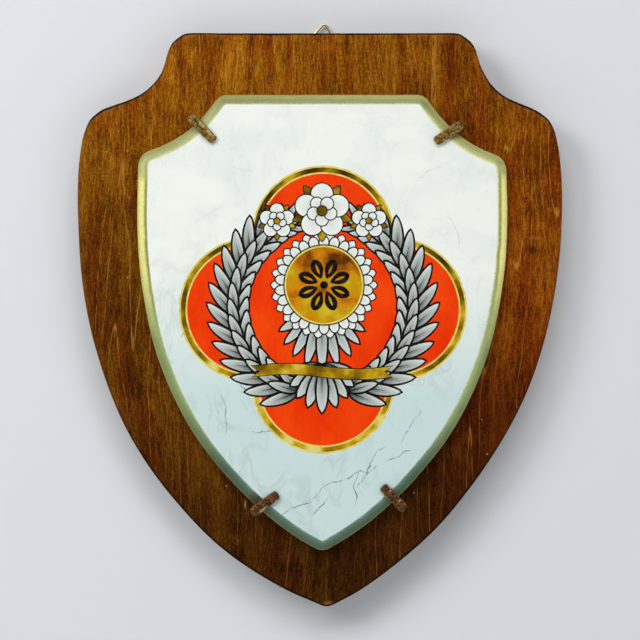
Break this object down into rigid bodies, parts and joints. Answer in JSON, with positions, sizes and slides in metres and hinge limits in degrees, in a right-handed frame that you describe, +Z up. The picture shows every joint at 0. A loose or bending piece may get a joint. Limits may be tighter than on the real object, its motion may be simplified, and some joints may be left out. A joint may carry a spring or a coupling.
{
  "type": "heraldic shield plaque",
  "caption": "Wooden wall shield carrying a glazed ceramic shield with a gilt rim, held by hammered hook nails and hung by a wire ring.",
  "frame": {"origin": "inside the top bend of the hanging ring, where a wall nail bears, in the middle of the wire's thickness", "axes": "+Z up, +Y to the wall behind, so the painted front faces -Y; +X to the viewer's right"},
  "size_m": [0.2909, 0.0324, 0.352],
  "materials": {
    "stained_wood": "satin",
    "glazed_tile": "gloss",
    "hammered_bronze": "satin",
    "brass": "satin"
  },
  "bodies": {
    "plaque": {"backboard": "stained_wood", "shield_tile": "glazed_tile", "hook_nail_upper_left": "hammered_bronze", "hook_nail_upper_right": "hammered_bronze", "hook_nail_lower_left": "hammered_bronze", "hook_nail_lower_right": "hammered_bronze", "hanger_strap": "brass", "hanger_nail_upper": "brass", "hanger_nail_lower": "brass"},
    "hanging_ring": {"hanging_ring": "brass"}
  },
  "joints": [
    {"name": "ring_hinge", "type": "hinge", "parent": "plaque", "child": "hanging_ring", "pos_m": [-0.00143, 0, -0.01358], "axis": [-0.9945, 0, 0.1045], "range_deg": [0, 170]}
  ]
}
